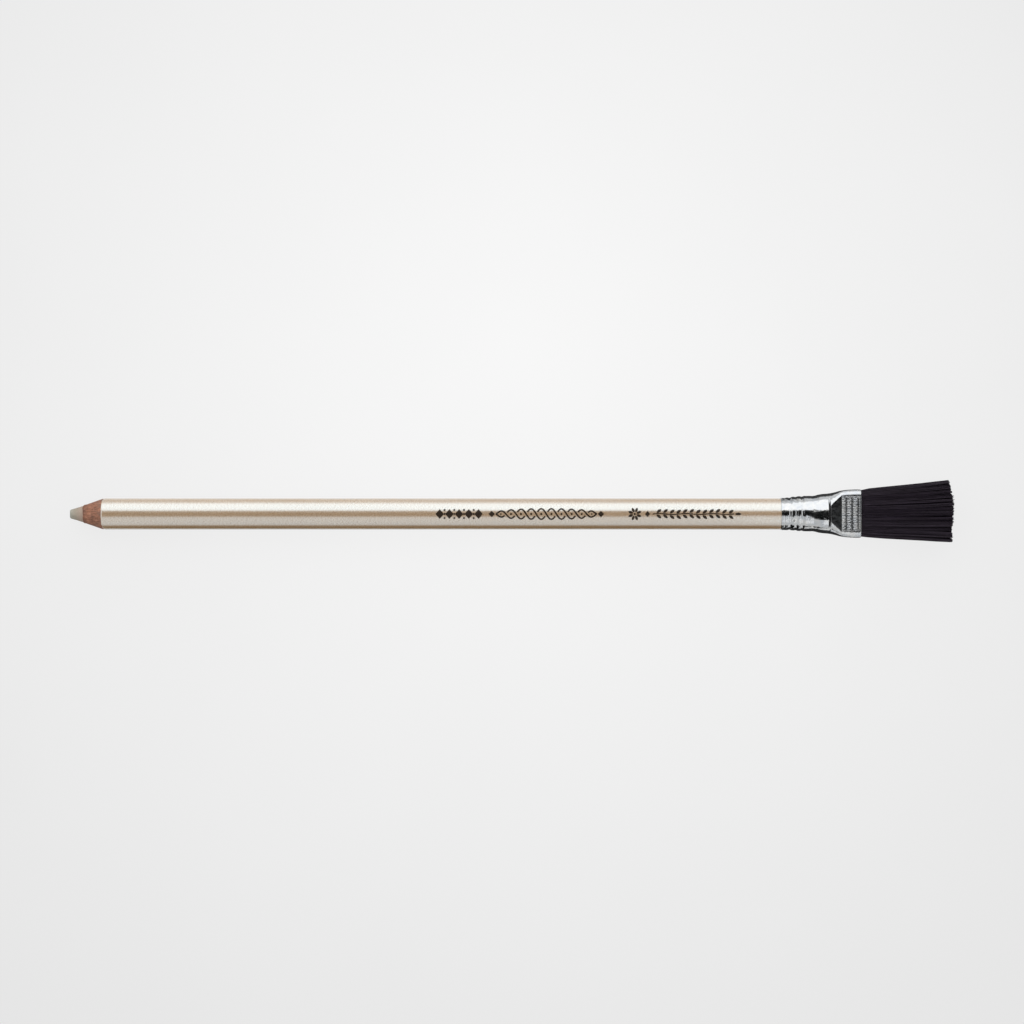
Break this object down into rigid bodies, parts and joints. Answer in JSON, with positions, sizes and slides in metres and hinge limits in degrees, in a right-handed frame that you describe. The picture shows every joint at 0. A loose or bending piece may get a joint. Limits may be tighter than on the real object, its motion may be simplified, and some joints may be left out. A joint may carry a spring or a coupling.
{
  "type": "eraser pencil",
  "caption": "Wood-cased eraser pencil: a sharpened hard-rubber core in a round lacquered barrel, with a flat bristle brush in a crimped metal ferrule on its butt.",
  "frame": {"origin": "under the middle of the pencil's length, on its axis, on the plane that the ferrule's widest round part touches", "axes": "+X along the pencil, from the rubber tip to the brush; +Y across the brush's broad face; +Z out of the brush's broad face"},
  "size_m": [0.2058, 0.014, 0.0097],
  "materials": {
    "eraser_rubber": "matt, slightly dusty cut rubber",
    "cedar": "raw, cut by the sharpener",
    "glue": "set wood glue",
    "lacquer": "glossy champagne metallic lacquer",
    "nickel": "bright nickel plate on formed sheet",
    "resin": "set resin",
    "nylon": "black nylon filament with a soft sheen"
  },
  "bodies": {
    "root": {"eraser_core": "eraser_rubber", "upper_slat": "cedar", "lower_slat": "cedar", "slat_glue": "glue", "lacquer_coat": "lacquer", "ferrule": "nickel", "root_resin": "resin", "bristle_tuft": "nylon"}
  },
  "joints": []
}
